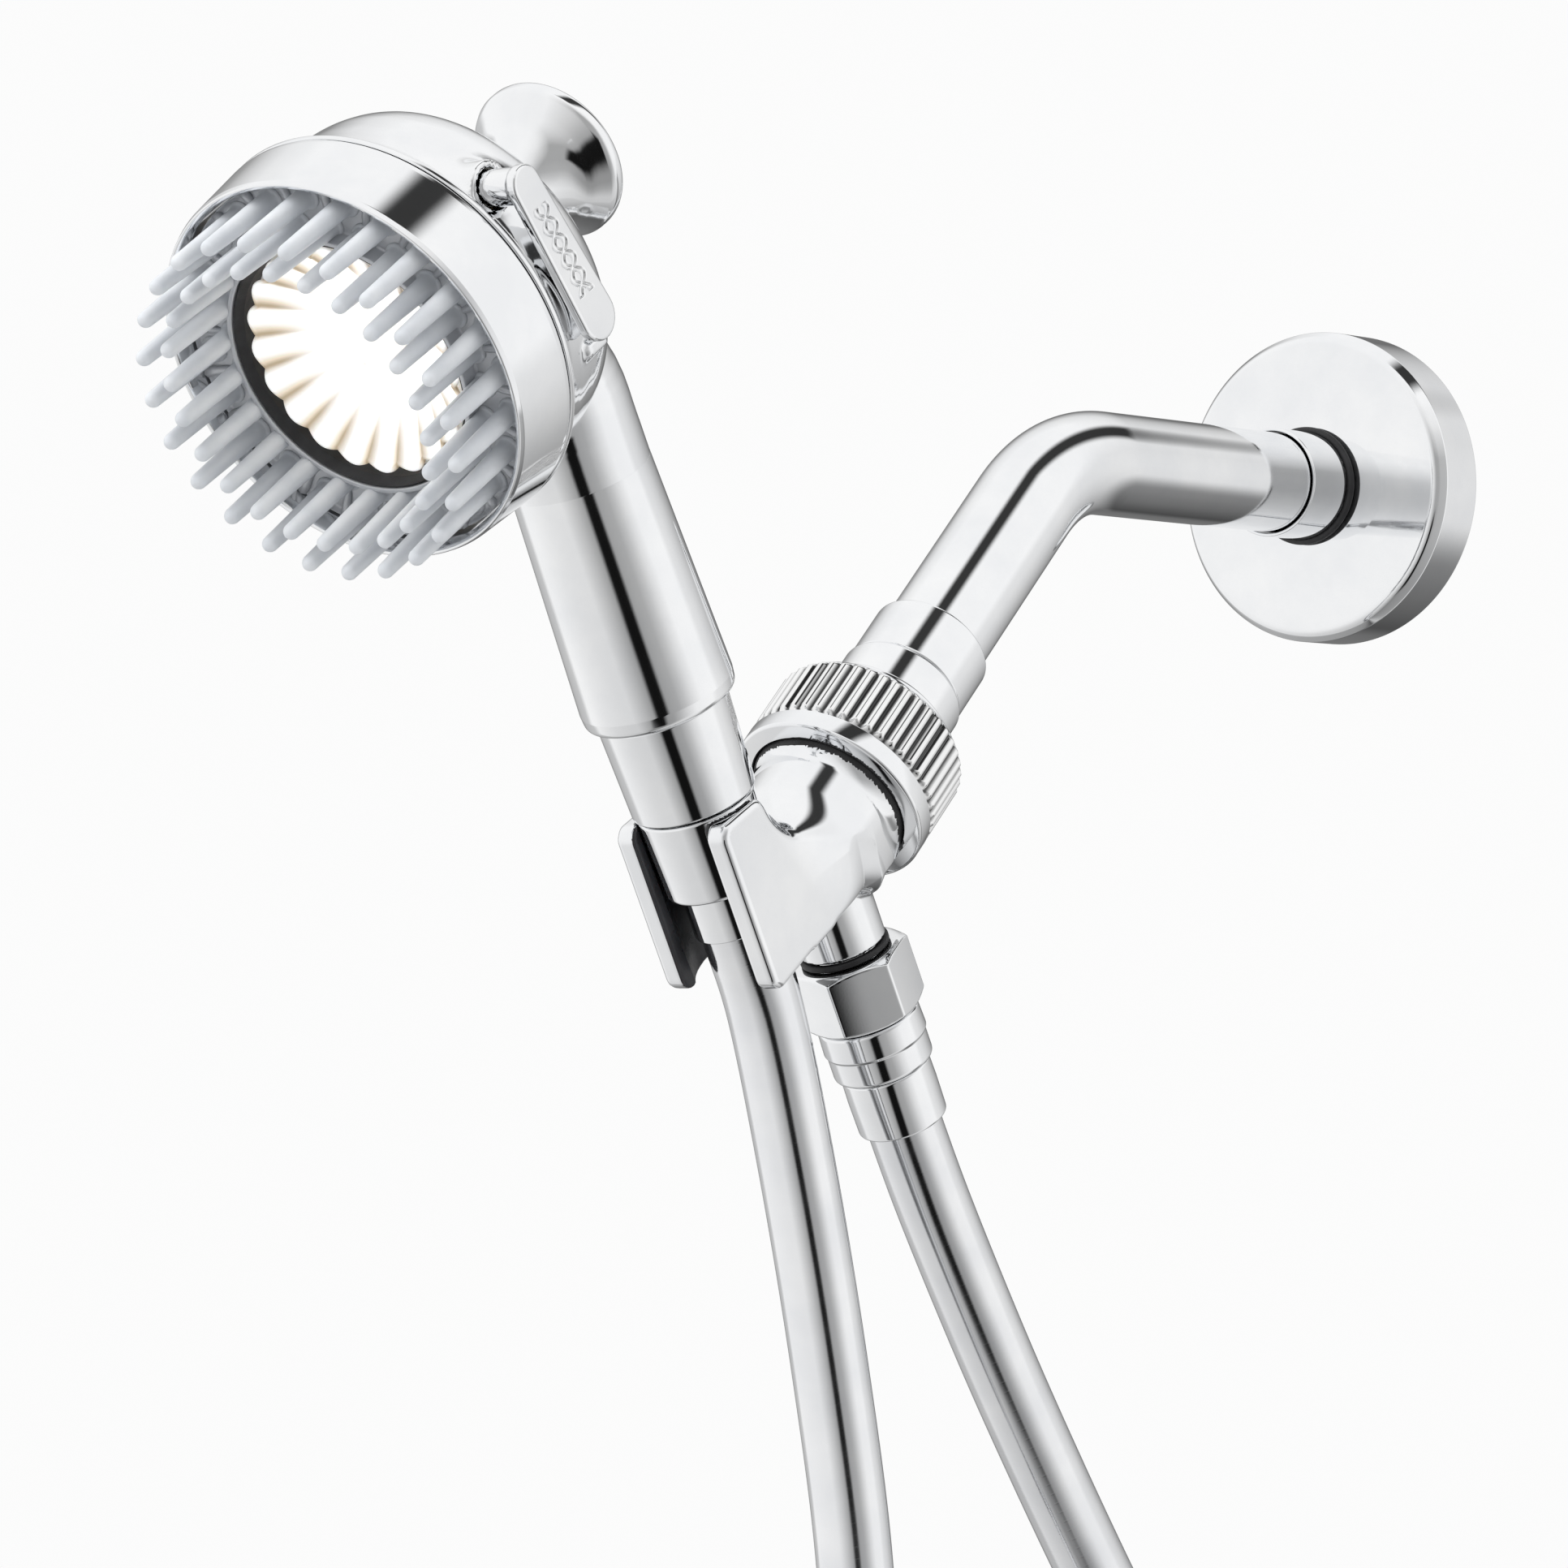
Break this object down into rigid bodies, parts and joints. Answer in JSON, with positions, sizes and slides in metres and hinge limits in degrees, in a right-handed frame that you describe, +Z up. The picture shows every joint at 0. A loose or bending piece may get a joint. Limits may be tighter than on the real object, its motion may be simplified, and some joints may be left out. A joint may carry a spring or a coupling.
{
  "type": "handheld shower head",
  "caption": "Chromed handheld shower head with soft spray nozzles, side lever and rear knob, resting in a swivel holder on a bent wall arm with flange, and its hose tied in a coil.",
  "frame": {"origin": "centre of the wall flange's back rim, on the wall plane", "axes": "+X to the right for someone who faces the wall, +Y into the wall along the arm's level stretch, +Z up"},
  "size_m": [0.0782, 0.3701, 0.5802],
  "materials": {
    "chromed_metal": "polished",
    "chromed_shell": "polished",
    "silver_hose": "gloss",
    "black_strap": "matte",
    "black_rubber": "satin",
    "brass": "satin",
    "grey_silicone": "satin",
    "cream_plastic": "satin",
    "white_plastic": "satin"
  },
  "bodies": {
    "arm": {"wall_flange": "chromed_metal", "flange_ring": "black_rubber", "flange_sleeve": "chromed_metal", "shower_arm": "chromed_metal", "arm_coupler": "chromed_metal", "swivel_adapter": "chromed_metal", "arm_gasket": "black_rubber", "inlet_screen": "white_plastic"},
    "collar": {"collar_nut": "chromed_metal"},
    "swivel": {"seat_washer": "black_rubber"},
    "holder": {"bracket_body": "chromed_shell", "outlet_washer": "black_rubber", "hex_nut": "chromed_metal", "outlet_gasket": "black_rubber", "outlet_tail": "brass", "ferrule_upper": "chromed_metal", "ferrule_lower": "chromed_metal", "hose_wall_leg": "silver_hose", "hose_hand_leg": "silver_hose", "hose_coil": "silver_hose", "hose_tie_front": "black_strap", "hose_tie_wall": "black_strap"},
    "hose_end": {"hand_ferrule": "chromed_metal", "hand_tail": "brass"},
    "handset": {"cone_nut": "chromed_metal", "cone_gasket": "black_rubber", "handle_collar": "chromed_metal", "check_valve": "white_plastic", "grip": "chromed_shell", "water_tube": "white_plastic", "head_housing": "chromed_shell", "head_band": "chromed_shell", "trim_ring": "chromed_shell", "nozzle_mat": "grey_silicone", "nozzle_plate": "white_plastic", "spray_disc": "white_plastic", "centre_seal": "black_rubber", "fluted_cup": "cream_plastic", "diffuser_core": "white_plastic", "cup_retainer": "white_plastic", "retainer_screw_1": "brass", "retainer_screw_2": "brass", "retainer_screw_3": "brass", "knob_seal": "black_rubber", "knob_gland": "chromed_shell"},
    "lever": {"lever": "chromed_shell", "lever_spindle": "brass", "valve_plug": "white_plastic"},
    "knob": {"knob": "chromed_shell", "knob_stem": "brass"}
  },
  "joints": [
    {"name": "collar_turn", "type": "hinge", "parent": "arm", "child": "collar", "pos_m": [0, -0.17796, -0.06677], "axis": [0, -0.7254, -0.6884], "range_deg": [-45, 45]},
    {"name": "holder_swivel", "type": "hinge", "parent": "arm", "child": "swivel", "pos_m": [0, -0.17796, -0.06677], "axis": [0, -0.7254, -0.6884], "range_deg": [-30, 30]},
    {"name": "holder_tilt", "type": "hinge", "parent": "swivel", "child": "holder", "pos_m": [0, -0.17796, -0.06677], "axis": [1, 0, 0], "range_deg": [-8, 8]},
    {"name": "handset_lift", "type": "slide", "parent": "holder", "child": "hose_end", "axis": [0, -0.4924, 0.8704], "range_m": [0, 0.06]},
    {"name": "handset_turn", "type": "hinge", "parent": "hose_end", "child": "handset", "pos_m": [0, -0.2138, -0.09], "axis": [0, -0.4924, 0.8704], "range_deg": [-80, 80]},
    {"name": "lever_turn", "type": "hinge", "parent": "handset", "child": "lever", "pos_m": [0.036, -0.31713, 0.03218], "axis": [1, 0, 0], "range_deg": [0, 70]},
    {"name": "knob_pull", "type": "slide", "parent": "handset", "child": "knob", "axis": [0, 0.83, 0.5577], "range_m": [0, 0.006]}
  ]
}
